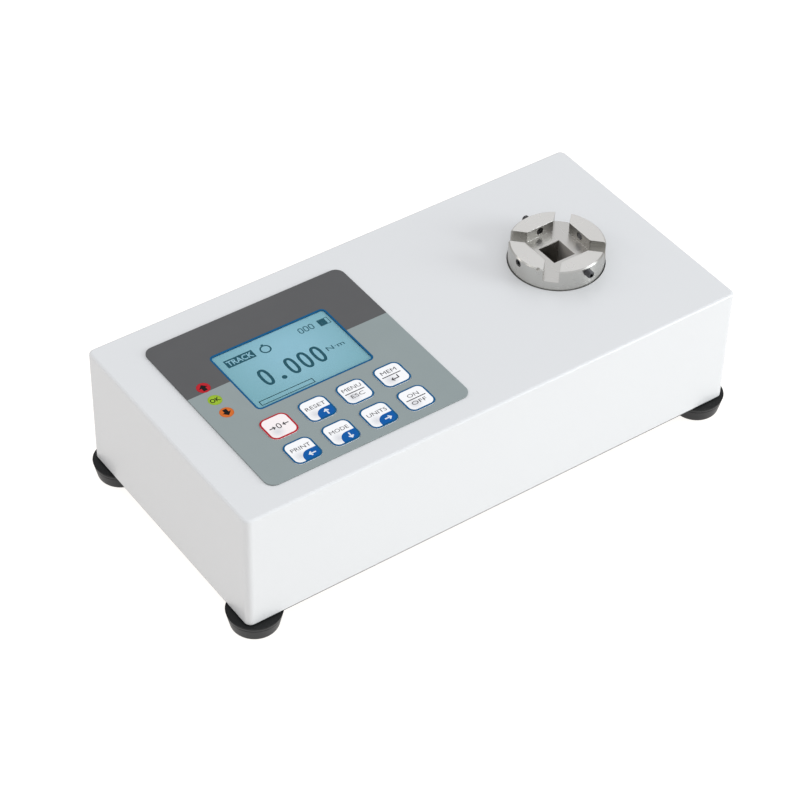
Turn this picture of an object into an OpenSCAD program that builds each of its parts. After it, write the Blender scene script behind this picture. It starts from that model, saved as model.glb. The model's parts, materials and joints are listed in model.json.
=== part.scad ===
// Bench torque tester: a low painted housing on four rubber feet, with a keypad and display panel
// on the left of its top and a four-jaw torque head on the right.
// Millimetres. The origin is on the floor under the middle of the housing, +X to the user's right,
// +Y away from the user, +Z up.

/* [Housing] */
// Length of the housing, left to right
housing_l = 290; // [280:1:340]
// Depth of the housing, front to back
housing_w = 142; // [138:1:180]
// Height of the housing walls
housing_h = 68; // [64:1:90]
// Thickness of the cover's sheet
wall_t = 1.5; // [1.2:0.1:2]
// Outer radius of the upright edges
edge_r = 3.5; // [3:0.5:7]
// Outer radius of the edges round the top
top_r = 1.5; // [1:0.25:2.5]
// Width of the flanges turned in along the long walls
flange_w = 14; // [13:0.5:18]

/* [Base] */
// Thickness of the base plate
plate_t = 2; // [1.5:0.25:3]
// How far the base plate shows below the walls
plate_drop = 0.8; // [0.4:0.1:1.5]
// Gap between the base plate and the walls
plate_gap = 0.5; // [0.3:0.1:1]
// How far the base plate's lip stands back from the walls' outer faces
plate_inset = 0.3; // [0.2:0.1:1]

/* [Feet] */
// Height of a foot
foot_h = 10.2; // [9:0.2:16]
// Diameter of a foot at its top
foot_top_d = 28; // [26:0.5:32]
// Diameter of a foot at the floor, before its edge is rounded
foot_bottom_d = 23.5; // [20:0.5:25]
// Radius of the edge at the floor
foot_edge_r = 2.5; // [1:0.5:3]
// Distance from the end walls to the middle of a foot
foot_inset_x = 9.5; // [9:0.5:16]
// Distance from the long walls to the middle of a foot
foot_inset_y = 9.5; // [8:0.5:11]

/* [Panel] */
// Length of the panel
panel_l = 114.5; // [112:0.5:130]
// Depth of the panel
panel_w = 113; // [110:1:124]
// Corner radius of the panel
panel_r = 5; // [2:0.5:8]
// Distance from the left wall to the panel
panel_inset = 21.5; // [18:0.1:28]
// Distance from the housing's middle back to the panel's middle
panel_y = -1.5; // [-3:0.5:3]
// Thickness of the printed overlay
overlay_t = 0.5; // [0.4:0.1:0.8]
// Thickness of the switch layer under the overlay
layer_t = 0.3; // [0.2:0.1:0.5]

/* [Display] */
// Length of the display that shows
view_l = 65.3; // [60:0.1:70]
// Depth of the display that shows
view_w = 43.5; // [38:0.1:45]
// Width of the printed border round the display
view_border = 0.8; // [0.8:0.1:2]
// Corner radius of the display window
view_r = 2; // [1:0.5:4]
// Distance from the panel's middle back to the display's middle
view_ahead = 12.3; // [10:0.1:14]

/* [Keys] */
// Side of a key
key_w = 15.5; // [12:0.5:17]
// Corner radius of a key
key_r = 4; // [2:0.5:6]
// Width of the rim round a key's face
key_rim = 1; // [0.5:0.1:1.5]
// Height of a key's face above its rim
key_face = 0.15; // [0.1:0.05:0.3]
// Spacing of the keys, left to right
key_pitch_x = 21.5; // [19:0.1:24]
// Spacing of the two rows of keys
key_pitch_y = 19.8; // [18.5:0.1:21]
// How far a key goes down
key_travel = 0.3; // [0.2:0.05:0.4]
// Gap between a key and the overlay round it
key_gap = 0.15; // [0.1:0.05:0.3]

/* [Status lights] */
// Diameter of a status light's lens
light_d = 7; // [6.5:0.5:9]
// Spacing of the status lights
light_pitch = 10.3; // [9.5:0.1:12]

/* [Torque head] */
// Distance from the right wall to the head's axis
head_inset = 58.8; // [54:0.1:64]
// Diameter of the head
head_d = 49; // [48:1:54]
// Height of the head above the housing
head_rise = 11.6; // [11:0.1:16]
// Gap between the head and the cover
head_gap = 0.5; // [0.3:0.1:1]
// Distance between the flats of facing jaws
pocket_w = 28.3; // [26:0.1:31]
// Depth of the pocket and the slots
pocket_depth = 6.5; // [5.6:0.1:8]
// Width of the slots between the jaws
slot_w = 8.2; // [6:0.1:9]
// Side of the square drive
drive_w = 12.8; // [9.6:0.1:13.2]
// Depth of the square drive
drive_depth = 17; // [12:0.5:18]
// Chamfer round the mouth of the square drive
drive_c = 0.2; // [0.2:0.1:1]
// Chamfer round the head's rim
rim_c = 0.7; // [0.3:0.1:1]

/* [Clamp screws] */
// Diameter of a clamp screw
clamp_d = 4; // [3:0.5:4]
// Length of a clamp screw
clamp_l = 10; // [8:0.5:12]
// How far the front screw stands out of its jaw
clamp_out_front = 3.5; // [0:0.1:4]
// How far the rear screw stands out of its jaw
clamp_out_rear = 2.5; // [0:0.1:4]
// How far the side screws lie inside their jaws
clamp_in_side = 0.3; // [0:0.1:1]

/* [Torque cell] */
// Diameter of the measuring tube
cell_tube_d = 26; // [22:1:27]
// Bore of the measuring tube
cell_bore_d = 12; // [8:1:16]
// Diameter of the flange that is bolted down
cell_foot_d = 80; // [78:1:86]
// Thickness of that flange
cell_foot_t = 9; // [7:0.5:10]
// Thickness of the flange under the head
cell_top_t = 8; // [6:0.5:9]
// Side of the steel plate under the cell
cell_plate_w = 96; // [94:1:104]
// Thickness of that plate
cell_plate_t = 8; // [6:0.5:10]

/* [Hidden] */

$fn = 64;
eps = 0.01;
cut = 1;
slip = 0.05;

// Levels, from the floor up
plate_top = foot_h + plate_t;
wall_z = foot_h + plate_drop;
top_z = wall_z + housing_h;
inner_top = top_z - wall_t;
layer_top = top_z + layer_t;
overlay_top = layer_top + overlay_t;
head_top = top_z + head_rise;
pocket_z = head_top - pocket_depth;
drive_z = pocket_z - drive_depth;

// Plan positions
panel_x = -housing_l / 2 + panel_inset + panel_l / 2;
view_x = panel_x;
view_y = panel_y + view_ahead;
keys_x = panel_x + 0.8;
keys_y = panel_y - 34.5;
light_x = panel_x - panel_l / 2 + 10.75;
light_y = panel_y + 7.5;
head_x = housing_l / 2 - head_inset;
foot_x = housing_l / 2 - foot_inset_x;
foot_y = housing_w / 2 - foot_inset_y;

// Base plate, flanges and their screws
plate_l = housing_l - 2 * (wall_t + plate_gap);
plate_w = housing_w - 2 * (wall_t + plate_gap);
plate_r = max(1, edge_r - wall_t - plate_gap);
flange_y = housing_w / 2 - wall_t - flange_w / 2;
cover_screw_x = housing_l * 0.17;
m4_d = 4;
m4_hole_d = 4.5;
m4_head_d = 8;
m4_head_h = 2.6;
m4_csk_d = 8;
m4_csk_h = 2;
nut_w = 7;
nut_t = 3.2;
screw_end = 0.6;

// Foot recess
recess_d = 12;
recess_h = 5;
washer_d = 11;
washer_t = 1;
foot_ring_z = 0.76 * foot_h;
foot_ring_w = 0.4;

// Keys and switch layer
key_lift = key_travel + 0.05;
key_z = layer_top + key_lift;
key_t = overlay_t - key_lift + 0.2;
contact_d = 8;
tail_w = 12;
tail_y = -50;
tail_gap = 0.1;
tail_slot = [2, 1.5];

// Status lights
led_d = 5;
led_rim_d = 5.8;
led_body_h = 8.6;
led_lead = 0.5;
led_pitch = 2.54;
led_top = top_z - 0.2;

// Display module, from the glass down
glass_margin = 0.2;
glass_t = 2.8;
glass_top = layer_top - slip;
glass_z = glass_top - glass_t;
backlight_t = 4;
backlight_margin = 0.6;
backlight_z = glass_z - backlight_t;
lcd_frame_w = 4;
lcd_board_t = 1.6;
lcd_board_z = backlight_z - lcd_board_t;
lcd_spacer_h = 2.4;
lcd_spacer_d = 5;
lcd_board_margin = 9;
lcd_hole_inset = 3.5;
lcd_hole_d = 2.5;

// Main board, hung under the cover
board_t = 1.6;
board_top = lcd_board_z - lcd_spacer_h;
board_z = board_top - board_t;
board_l = 112;
board_w = 106;
board_r = 3;
board_hole_inset = 5;
board_hole_x = board_l / 2 - board_hole_inset;
board_hole_y = board_w / 2 - board_hole_inset;
spacer_d = 6;
m3_d = 3;
m3_hole_d = 3.2;
m3_head_d = 5.6;
m3_head_h = 2;
m3_depth = 6;
socket_h = 6;
lead_socket = [12, 10];
processor = [14, 14, 1.4];
processor_at = [-11, -27];
memory_chip = [10, 6, 1.8];
memory_chip_at = [17, -27];
tail_socket = [18, 5, 4];
tail_entry = 2;

// Torque head and cell
head_len = 28;
head_bottom = head_top - head_len;
clamp_z = top_z + 8.7;
clamp_key_w = 2;
clamp_key_depth = 2.5;
index_angle = 209;
index_w = 1.4;
index_l = 0.6;
index_depth = 1.2;
m5_d = 5;
m5_hole_d = 5.4;
m5_head_d = 8.5;
m5_head_h = 5;
m5_key_w = 4;
m5_key_depth = 2.5;
head_bolt_pcd = 38;
head_bolt_l = 16;
cell_bolt_pcd = 64;
cell_bolt_l = 14;
cell_z = plate_top + cell_plate_t;
cell_top_d = head_d - 2;
tube_z = cell_z + cell_foot_t;
tube_top = head_bottom - cell_top_t;
flat_w = cell_tube_d - 2;
flat_margin = 4;
gauge = [8, 10, 0.2];
gauge_z = (tube_z + tube_top) / 2;
plate_screw_inset = 9;
cell_plate_r = 4;
m5_csk_d = 10;
m5_csk_h = 2;

// Lead from the gauges to the main board
lead_d = 4;
lead_bend = 8;
lead_down_x = head_x - cell_plate_w / 2 - 9;
lead_z = plate_top + lead_d / 2;
lead_up_x = panel_x + board_l / 2 - 10;
lead_start_x = head_x - flat_w / 2 - gauge[2];
board_socket_z = board_z - socket_h;

// Battery pack
cell_d = 14.4;
cell_count = 6;
battery_l = 50;
battery_x = panel_x - 7;
battery_y = -24;
strap_t = 1.2;
strap_w = 16;
strap_foot = 12;
pack_half = cell_count * cell_d / 2;

// Board at the rear wall, with the two sockets
port_board_l = 64;
port_board_w = 42;
port_board_r = 2;
port_hole_inset = [4, 16];
port_chip = [10, 8, 2];
port_chip_at = [-17, -13];
port_spacer_h = 8;
port_board_x = panel_x - 8;
port_board_z = plate_top + port_spacer_h;
port_board_top = port_board_z + board_t;
port_board_y = housing_w / 2 - wall_t - 2.5 - port_board_w / 2;
port_clear = 0.2;
usb = [12, 16.4, 10.9];
usb_x = port_board_x - 14;
jack = [9, 14, 11];
jack_x = port_board_x + 12;
port_header = [22, 6, 8];
ribbon_w = 20;
ribbon_t = 0.9;
ribbon_bend = 6;
ribbon_x = port_board_x + 6;
ribbon_low_y = port_board_y - port_board_w / 2 + 8;
ribbon_high_y = ribbon_low_y - 20;
ribbon_low_z = port_board_top + port_header[2];

// Outline of a rectangle with round corners, centred
module rounded_outline(l, w, r) {
    union() {
        square([l - 2 * r, w], center = true);
        square([l, w - 2 * r], center = true);
        for (x = [-1, 1], y = [-1, 1]) {
            translate([x * (l / 2 - r), y * (w / 2 - r)]) circle(r);
        }
    }
}

module rounded_plate(l, w, r, t) {
    linear_extrude(t) rounded_outline(l, w, r);
}

// Puts its children at the four corners of a rectangle
module at_corners(x, y) {
    for (sx = [-1, 1], sy = [-1, 1]) {
        translate([sx * x, sy * y, 0]) children();
    }
}

// Puts its children on a circle, starting part of a turn round
module on_circle(pcd, count, start = 0) {
    for (i = [0 : count - 1]) {
        rotate([0, 0, start + i * 360 / count]) translate([pcd / 2, 0, 0]) children();
    }
}

// Screw pointing up, with its head's top face at z = 0 and the head below it
module pan_screw(d, l, head_d, head_h) {
    difference() {
        union() {
            translate([0, 0, -head_h]) cylinder(h = head_h, d = head_d);
            cylinder(h = l - screw_end, d = d);
            translate([0, 0, l - screw_end]) cylinder(h = screw_end, d1 = d, d2 = d - 2 * screw_end);
        }
        for (a = [0, 90]) {
            rotate([0, 0, a]) translate([0, 0, -head_h]) {
                cube([head_d * 0.55, head_d * 0.14, head_h], center = true);
            }
        }
    }
}

// Countersunk screw pointing up, with its flat face at z = 0
module flat_screw(d, l, head_d, head_h) {
    difference() {
        union() {
            cylinder(h = head_h, d1 = head_d, d2 = d);
            cylinder(h = l - screw_end, d = d);
            translate([0, 0, l - screw_end]) cylinder(h = screw_end, d1 = d, d2 = d - 2 * screw_end);
        }
        for (a = [0, 90]) {
            rotate([0, 0, a]) cube([head_d * 0.55, head_d * 0.14, head_h], center = true);
        }
    }
}

// Hole for a countersunk screw from below, through a plate of thickness t
module flat_screw_hole(hole_d, head_d, head_h, t) {
    translate([0, 0, -cut]) cylinder(h = t + 2 * cut, d = hole_d);
    translate([0, 0, -eps]) cylinder(h = head_h + eps, d1 = head_d + 2 * slip, d2 = hole_d);
}

// Socket cap screw pointing up, with the seat of its head at z = 0 and the head below it
module cap_screw(d, l, head_d, head_h, key_w, key_depth) {
    difference() {
        union() {
            translate([0, 0, -head_h]) cylinder(h = head_h, d = head_d);
            cylinder(h = l, d = d);
        }
        translate([0, 0, -head_h - cut]) {
            cylinder(h = key_depth + cut, d = key_w / cos(30), $fn = 6);
        }
    }
}

// Half-section of the cover at an edge, outward from the axis of an upright corner
module wall_section() {
    difference() {
        union() {
            square([edge_r - top_r, housing_h]);
            square([edge_r, housing_h - top_r]);
            translate([edge_r - top_r, housing_h - top_r]) circle(top_r);
        }
        translate([-cut, -cut]) square([edge_r - wall_t + cut, housing_h - wall_t + cut]);
    }
}

// Five-sided shell, swept from the wall's section
module cover_shell() {
    flat_l = housing_l - 2 * edge_r;
    flat_w = housing_w - 2 * edge_r;
    for (s = [0, 1]) {
        rotate([0, 0, 180 * s]) {
            translate([flat_l / 2, flat_w / 2, 0]) rotate([90, 0, 0]) {
                linear_extrude(flat_w) wall_section();
            }
            translate([flat_l / 2, flat_w / 2, 0]) rotate_extrude(angle = 90) wall_section();
            translate([-flat_l / 2, flat_w / 2, 0]) rotate([0, 0, 90]) rotate([90, 0, 0]) {
                linear_extrude(flat_l) wall_section();
            }
            translate([-flat_l / 2, flat_w / 2, 0]) rotate([0, 0, 90]) {
                rotate_extrude(angle = 90) wall_section();
            }
        }
    }
    translate([-flat_l / 2, -flat_w / 2, housing_h - wall_t]) cube([flat_l, flat_w, wall_t]);
}

module cover_flanges() {
    for (s = [-1, 1]) {
        translate([0, s * flange_y, plate_top + wall_t / 2]) difference() {
            cube([housing_l - 2 * edge_r, flange_w + 2 * eps, wall_t], center = true);
            for (x = [-1, 1]) {
                translate([x * foot_x, s * (foot_y - flange_y), 0]) {
                    cylinder(h = wall_t + 2 * cut, d = m4_hole_d, center = true);
                }
                translate([x * cover_screw_x, 0, 0]) {
                    cylinder(h = wall_t + 2 * cut, d = m4_hole_d, center = true);
                }
            }
        }
    }
}

module cover_openings() {
    translate([0, 0, inner_top - cut]) linear_extrude(wall_t + 2 * cut) {
        translate([view_x, view_y]) square([view_l + 2, view_w + 2], center = true);
        for (i = [-1 : 1]) {
            translate([light_x, light_y + i * light_pitch]) circle(d = led_d + 0.6);
        }
        translate([panel_x, tail_y]) square([tail_w + tail_slot[0], tail_slot[1]], center = true);
        translate([head_x, 0]) circle(d = head_d + 2 * head_gap);
    }
    for (port = [[usb_x, usb], [jack_x, jack]]) {
        translate([port[0], housing_w / 2, port_board_top + port[1][2] / 2]) {
            cube([port[1][0] + 2 * port_clear, 4 * wall_t, port[1][2] + 2 * port_clear], center = true);
        }
    }
}

module cover() {
    color("whitesmoke") difference() {
        union() {
            translate([0, 0, wall_z]) cover_shell();
            cover_flanges();
        }
        cover_openings();
    }
}

// Plate with a thin lip all round that the walls stand on
module base_plate() {
    color("dimgray") translate([0, 0, foot_h]) difference() {
        union() {
            rounded_plate(plate_l, plate_w, plate_r, plate_t);
            rounded_plate(
                housing_l - 2 * plate_inset, housing_w - 2 * plate_inset, edge_r - plate_inset,
                plate_drop - slip
            );
        }
        at_corners(foot_x, foot_y) translate([0, 0, -cut]) cylinder(h = plate_t + 2 * cut, d = m4_hole_d);
        at_corners(cover_screw_x, flange_y) flat_screw_hole(m4_hole_d, m4_csk_d, m4_csk_h, plate_t);
        translate([head_x, 0, 0]) {
            at_corners(cell_plate_w / 2 - plate_screw_inset, cell_plate_w / 2 - plate_screw_inset) {
                flat_screw_hole(m5_hole_d, m5_csk_d, m5_csk_h, plate_t);
            }
        }
        translate([port_board_x, port_board_y, 0]) {
            port_board_corners() translate([0, 0, -cut]) cylinder(h = plate_t + 2 * cut, d = m3_hole_d);
        }
        battery_screw_places() translate([0, 0, -cut]) cylinder(h = plate_t + 2 * cut, d = m3_hole_d);
    }
}

// Half-section of a foot: a cone with a rounded lower edge, a moulded ring and a screw recess
module foot_section() {
    top = foot_top_d / 2;
    bottom = foot_bottom_d / 2;
    side = atan2(foot_h, top - bottom);
    tangent = foot_edge_r * tan(side / 2);
    edge_x = bottom - tangent;
    ring_x = bottom + (top - bottom) * foot_ring_z / foot_h;
    difference() {
        union() {
            polygon([
                [m4_hole_d / 2, 0],
                [edge_x, 0],
                [bottom + tangent * cos(side), tangent * sin(side)],
                [top, foot_h],
                [m4_hole_d / 2, foot_h]
            ]);
            translate([edge_x, foot_edge_r]) circle(foot_edge_r);
        }
        translate([0, -cut]) square([recess_d / 2, recess_h + cut]);
        translate([ring_x, foot_ring_z]) square(foot_ring_w, center = true);
    }
}

module foot(x, y) {
    color("#202020") translate([x, y, 0]) rotate_extrude() foot_section();
}

module foot_washers() {
    color("silver") at_corners(foot_x, foot_y) translate([0, 0, recess_h - washer_t]) difference() {
        cylinder(h = washer_t, d = washer_d);
        translate([0, 0, -cut]) cylinder(h = washer_t + 2 * cut, d = m4_hole_d);
    }
}

module foot_screws() {
    color("silver") at_corners(foot_x, foot_y) translate([0, 0, recess_h - washer_t]) {
        pan_screw(m4_d, plate_top + wall_t + nut_t + 1 - recess_h + washer_t, m4_head_d, m4_head_h);
    }
}

module weld_nut() {
    difference() {
        cylinder(h = nut_t, d = nut_w / cos(30), $fn = 6);
        translate([0, 0, -cut]) cylinder(h = nut_t + 2 * cut, d = m4_d + 2 * slip);
    }
}

module weld_nuts() {
    color("silver") translate([0, 0, plate_top + wall_t]) {
        at_corners(foot_x, foot_y) weld_nut();
        at_corners(cover_screw_x, flange_y) weld_nut();
    }
}

module cover_screws() {
    color("silver") at_corners(cover_screw_x, flange_y) translate([0, 0, foot_h]) {
        flat_screw(m4_d, plate_t + wall_t + nut_t + 1, m4_csk_d, m4_csk_h);
    }
}

// Places on the panel
module at_key(i) {
    translate([keys_x + (i % 4 - 1.5) * key_pitch_x, keys_y + (i < 4 ? 0.5 : -0.5) * key_pitch_y]) {
        children();
    }
}

module at_light(i) {
    translate([light_x, light_y + (1 - i) * light_pitch]) children();
}

module overlay() {
    color("slategray") translate([0, 0, layer_top]) linear_extrude(overlay_t) difference() {
        translate([panel_x, panel_y]) rounded_outline(panel_l, panel_w, panel_r);
        translate([view_x, view_y]) {
            rounded_outline(
                view_l + 2 * (view_border + slip), view_w + 2 * (view_border + slip), view_r + view_border
            );
        }
        for (i = [0 : 7]) {
            at_key(i) rounded_outline(key_w + 2 * key_gap, key_w + 2 * key_gap, key_r + key_gap);
        }
        for (i = [0 : 2]) {
            at_light(i) circle(d = light_d + 2 * slip);
        }
    }
}

module switch_layer() {
    color("goldenrod") {
        translate([0, 0, top_z]) linear_extrude(layer_t) difference() {
            translate([panel_x, panel_y]) rounded_outline(panel_l, panel_w, panel_r);
            translate([view_x, view_y]) square([view_l, view_w], center = true);
            for (i = [0 : 7]) {
                at_key(i) circle(d = contact_d + 2 * slip);
            }
            for (i = [0 : 2]) {
                at_light(i) circle(d = light_d - 2);
            }
        }
        translate([panel_x - tail_w / 2, tail_y - layer_t / 2, board_top + tail_entry]) {
            cube([tail_w, layer_t, top_z - board_top - tail_entry + eps]);
        }
    }
}

module key_contacts() {
    color("silver") translate([0, 0, top_z]) linear_extrude(layer_t) {
        for (i = [0 : 7]) {
            at_key(i) circle(d = contact_d);
        }
    }
}

// Key tile with a raised face, the first four in the rear row
module key(i) {
    color("white") at_key(i) translate([0, 0, key_z]) {
        rounded_plate(key_w, key_w, key_r, key_t);
        rounded_plate(key_w - 2 * key_rim, key_w - 2 * key_rim, key_r - key_rim, key_t + key_face);
    }
}

module display_window() {
    color([0.7, 0.85, 0.9, 0.5]) translate([view_x, view_y, layer_top]) {
        rounded_plate(
            view_l + 2 * view_border, view_w + 2 * view_border, view_r + view_border - slip, overlay_t
        );
    }
}

module light(i, tint) {
    color(tint) at_light(i) translate([0, 0, layer_top]) cylinder(h = overlay_t, d = light_d);
}

module status_led() {
    led_z = led_top - led_body_h;
    translate([0, 0, led_z]) {
        cylinder(h = 1, d = led_rim_d);
        cylinder(h = led_body_h - led_d / 2, d = led_d);
        translate([0, 0, led_body_h - led_d / 2]) sphere(d = led_d);
    }
    for (s = [-1, 1]) {
        translate([s * led_pitch / 2 - led_lead / 2, -led_lead / 2, board_top]) {
            cube([led_lead, led_lead, led_z - board_top + eps]);
        }
    }
}

module status_leds() {
    color("ivory") for (i = [0 : 2]) {
        at_light(i) status_led();
    }
}

module lcd_block(z, t, margin) {
    translate([view_x, view_y, z + t / 2]) {
        cube([view_l + 2 * margin, view_w + 2 * margin, t], center = true);
    }
}

module lcd_glass() {
    color("lightblue") lcd_block(glass_z, glass_t, -glass_margin);
}

module lcd_backlight() {
    color("aliceblue") lcd_block(backlight_z, backlight_t, backlight_margin);
}

module lcd_frame() {
    frame_t = inner_top - slip - backlight_z;
    color("dimgray") difference() {
        lcd_block(backlight_z, frame_t, backlight_margin + lcd_frame_w);
        lcd_block(backlight_z - cut, frame_t + 2 * cut, backlight_margin + slip);
    }
}

module lcd_corners() {
    translate([view_x, view_y, 0]) {
        at_corners(
            view_l / 2 + lcd_board_margin - lcd_hole_inset, view_w / 2 + lcd_board_margin - lcd_hole_inset
        ) children();
    }
}

module lcd_board() {
    color("darkgreen") difference() {
        lcd_block(lcd_board_z, lcd_board_t, lcd_board_margin);
        lcd_corners() translate([0, 0, lcd_board_z - cut]) {
            cylinder(h = lcd_board_t + 2 * cut, d = lcd_hole_d);
        }
    }
}

module lcd_spacers() {
    color("silver") lcd_corners() translate([0, 0, board_top]) difference() {
        cylinder(h = lcd_spacer_h, d = lcd_spacer_d);
        translate([0, 0, -cut]) cylinder(h = lcd_spacer_h + 2 * cut, d = lcd_hole_d);
    }
}

module main_board_corners() {
    translate([panel_x, 0, 0]) at_corners(board_hole_x, board_hole_y) children();
}

module main_board() {
    color("darkgreen") difference() {
        translate([panel_x, 0, board_z]) rounded_plate(board_l, board_w, board_r, board_t);
        main_board_corners() translate([0, 0, board_z - cut]) {
            cylinder(h = board_t + 2 * cut, d = m3_hole_d);
        }
    }
}

// Chip under the main board, centred at a place from the panel's middle
module board_chip(size, at) {
    translate([panel_x + at[0] - size[0] / 2, at[1] - size[1] / 2, board_z - size[2]]) cube(size);
}

// Sockets and chips on the main board: the ribbon's and the lead's sockets hang below it,
// the keypad's socket stands on it
module main_board_parts() {
    color("#2a2a2a") {
        translate([ribbon_x - port_header[0] / 2, ribbon_high_y - port_header[1] / 2, board_socket_z]) {
            cube([port_header[0], port_header[1], socket_h]);
        }
        translate([lead_up_x - lead_socket[0] / 2, -lead_socket[1] / 2, board_socket_z]) {
            cube([lead_socket[0], lead_socket[1], socket_h]);
        }
        board_chip(processor, processor_at);
        board_chip(memory_chip, memory_chip_at);
        difference() {
            translate([panel_x - tail_socket[0] / 2, tail_y - tail_socket[1] / 2, board_top]) {
                cube(tail_socket);
            }
            translate([panel_x - tail_w / 2 - tail_gap, tail_y - layer_t / 2 - slip, board_top + tail_entry]) {
                cube([tail_w + 2 * tail_gap, layer_t + 2 * slip, tail_socket[2]]);
            }
        }
    }
}

module board_spacers() {
    color("silver") main_board_corners() translate([0, 0, board_top]) difference() {
        cylinder(h = inner_top - board_top, d = spacer_d);
        translate([0, 0, -cut]) cylinder(h = m3_depth + cut, d = m3_d + 2 * slip);
    }
}

module board_screws() {
    color("silver") main_board_corners() translate([0, 0, board_z]) {
        pan_screw(m3_d, board_t + m3_depth - 1, m3_head_d, m3_head_h);
    }
}

// Square pocket and the two slots that cross it
module pocket_outline() {
    square(pocket_w, center = true);
    for (a = [45, 135]) {
        rotate(a) square([head_d + 2 * cut, slot_w], center = true);
    }
}

// Profile of the square drive's chamfered mouth, drawn out along Y
module drive_wedge() {
    half = drive_w / 2;
    rotate([90, 0, 0]) linear_extrude(drive_w + 2 * drive_c, center = true) {
        polygon([
            [-half, -drive_c],
            [half, -drive_c],
            [half + drive_c, 0],
            [half + drive_c, cut],
            [-half - drive_c, cut],
            [-half - drive_c, 0]
        ]);
    }
}

module drive_mouth() {
    translate([0, 0, pocket_z]) intersection() {
        drive_wedge();
        rotate([0, 0, 90]) drive_wedge();
    }
}

// Round head with a square drive at the bottom of a square pocket. Two slots cross the pocket
// corner to corner and part its rim into four jaws, each with a radial hole for a clamp screw.
// An index notch is cut across the rim of one jaw.
module torque_head() {
    color("gainsboro") translate([head_x, 0, 0]) difference() {
        union() {
            translate([0, 0, head_bottom]) cylinder(h = head_len - rim_c, d = head_d);
            translate([0, 0, head_top - rim_c]) cylinder(h = rim_c, d1 = head_d, d2 = head_d - 2 * rim_c);
        }
        translate([0, 0, pocket_z]) linear_extrude(pocket_depth + cut) pocket_outline();
        translate([-drive_w / 2, -drive_w / 2, drive_z]) cube([drive_w, drive_w, drive_depth + cut]);
        drive_mouth();
        for (a = [0 : 90 : 270]) {
            rotate([0, 0, a]) translate([0, 0, clamp_z]) rotate([0, 90, 0]) {
                translate([0, 0, pocket_w / 2 - cut]) cylinder(h = head_d / 2, d = clamp_d);
            }
        }
        rotate([0, 0, index_angle]) {
            translate([head_d / 2 - rim_c - index_l, -index_w / 2, head_top - index_depth]) {
                cube([rim_c + index_l + cut, index_w, index_depth + cut]);
            }
        }
        on_circle(head_bolt_pcd, 4, 45) translate([0, 0, head_bottom - cut]) {
            cylinder(h = head_bolt_l - cell_top_t + 2 + cut, d = m5_d + 2 * slip);
        }
    }
}

// Headless clamp screw lying along +X from x = 0, with its key socket in the far end
module clamp_screw() {
    color("#1a1a1a") rotate([0, 90, 0]) difference() {
        union() {
            cylinder(h = screw_end, d1 = clamp_d - 2 * slip - 2 * screw_end, d2 = clamp_d - 2 * slip);
            translate([0, 0, screw_end]) cylinder(h = clamp_l - screw_end, d = clamp_d - 2 * slip);
        }
        translate([0, 0, clamp_l - clamp_key_depth]) {
            cylinder(h = clamp_key_depth + cut, d = clamp_key_w / cos(30), $fn = 6);
        }
    }
}

// Places a clamp screw in the jaw at an angle, with its outer end so far out of the jaw
module clamp_at(angle, out) {
    translate([head_x, 0, clamp_z]) rotate([0, 0, angle]) {
        translate([head_d / 2 + out - clamp_l, 0, 0]) clamp_screw();
    }
}

module torque_cell() {
    color("silver") translate([head_x, 0, 0]) difference() {
        union() {
            translate([0, 0, cell_z]) cylinder(h = cell_foot_t, d = cell_foot_d);
            translate([0, 0, tube_z - eps]) cylinder(h = tube_top - tube_z + 2 * eps, d = cell_tube_d);
            translate([0, 0, tube_top]) cylinder(h = cell_top_t, d = cell_top_d);
        }
        translate([0, 0, cell_z - cut]) cylinder(h = head_bottom - cell_z + 2 * cut, d = cell_bore_d);
        for (a = [0 : 90 : 270]) {
            rotate([0, 0, a]) translate([flat_w / 2, -cell_tube_d / 2, tube_z + flat_margin]) {
                cube([cell_tube_d, cell_tube_d, tube_top - tube_z - 2 * flat_margin]);
            }
        }
        on_circle(cell_bolt_pcd, 6, 30) translate([0, 0, cell_z - cut]) {
            cylinder(h = cell_foot_t + 2 * cut, d = m5_hole_d);
        }
        on_circle(head_bolt_pcd, 4, 45) translate([0, 0, tube_top - cut]) {
            cylinder(h = cell_top_t + 2 * cut, d = m5_hole_d);
        }
    }
}

module strain_gauges() {
    color("orange") translate([head_x, 0, gauge_z]) for (a = [0 : 90 : 270]) {
        rotate([0, 0, a]) translate([flat_w / 2, -gauge[0] / 2, -gauge[1] / 2]) {
            cube([gauge[2], gauge[0], gauge[1]]);
        }
    }
}

module head_screws() {
    color("#303030") translate([head_x, 0, tube_top]) on_circle(head_bolt_pcd, 4, 45) {
        cap_screw(m5_d, head_bolt_l, m5_head_d, m5_head_h, m5_key_w, m5_key_depth);
    }
}

module cell_screws() {
    color("#303030") translate([head_x, 0, tube_z]) on_circle(cell_bolt_pcd, 6, 30) {
        rotate([180, 0, 0]) cap_screw(m5_d, cell_bolt_l, m5_head_d, m5_head_h, m5_key_w, m5_key_depth);
    }
}

module cell_plate_corners() {
    at_corners(cell_plate_w / 2 - plate_screw_inset, cell_plate_w / 2 - plate_screw_inset) children();
}

module cell_plate() {
    color("gray") translate([head_x, 0, plate_top]) difference() {
        rounded_plate(cell_plate_w, cell_plate_w, cell_plate_r, cell_plate_t);
        cell_plate_corners() translate([0, 0, -cut]) {
            cylinder(h = cell_plate_t + 2 * cut, d = m5_d + 2 * slip);
        }
        on_circle(cell_bolt_pcd, 6, 30) translate([0, 0, cell_plate_t - cell_bolt_l + cell_foot_t - 0.5]) {
            cylinder(h = cell_bolt_l, d = m5_d + 2 * slip);
        }
    }
}

module cell_plate_screws() {
    color("silver") translate([head_x, 0, foot_h]) cell_plate_corners() {
        flat_screw(m5_d, plate_t + cell_plate_t - 1, m5_csk_d, m5_csk_h);
    }
}

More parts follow.
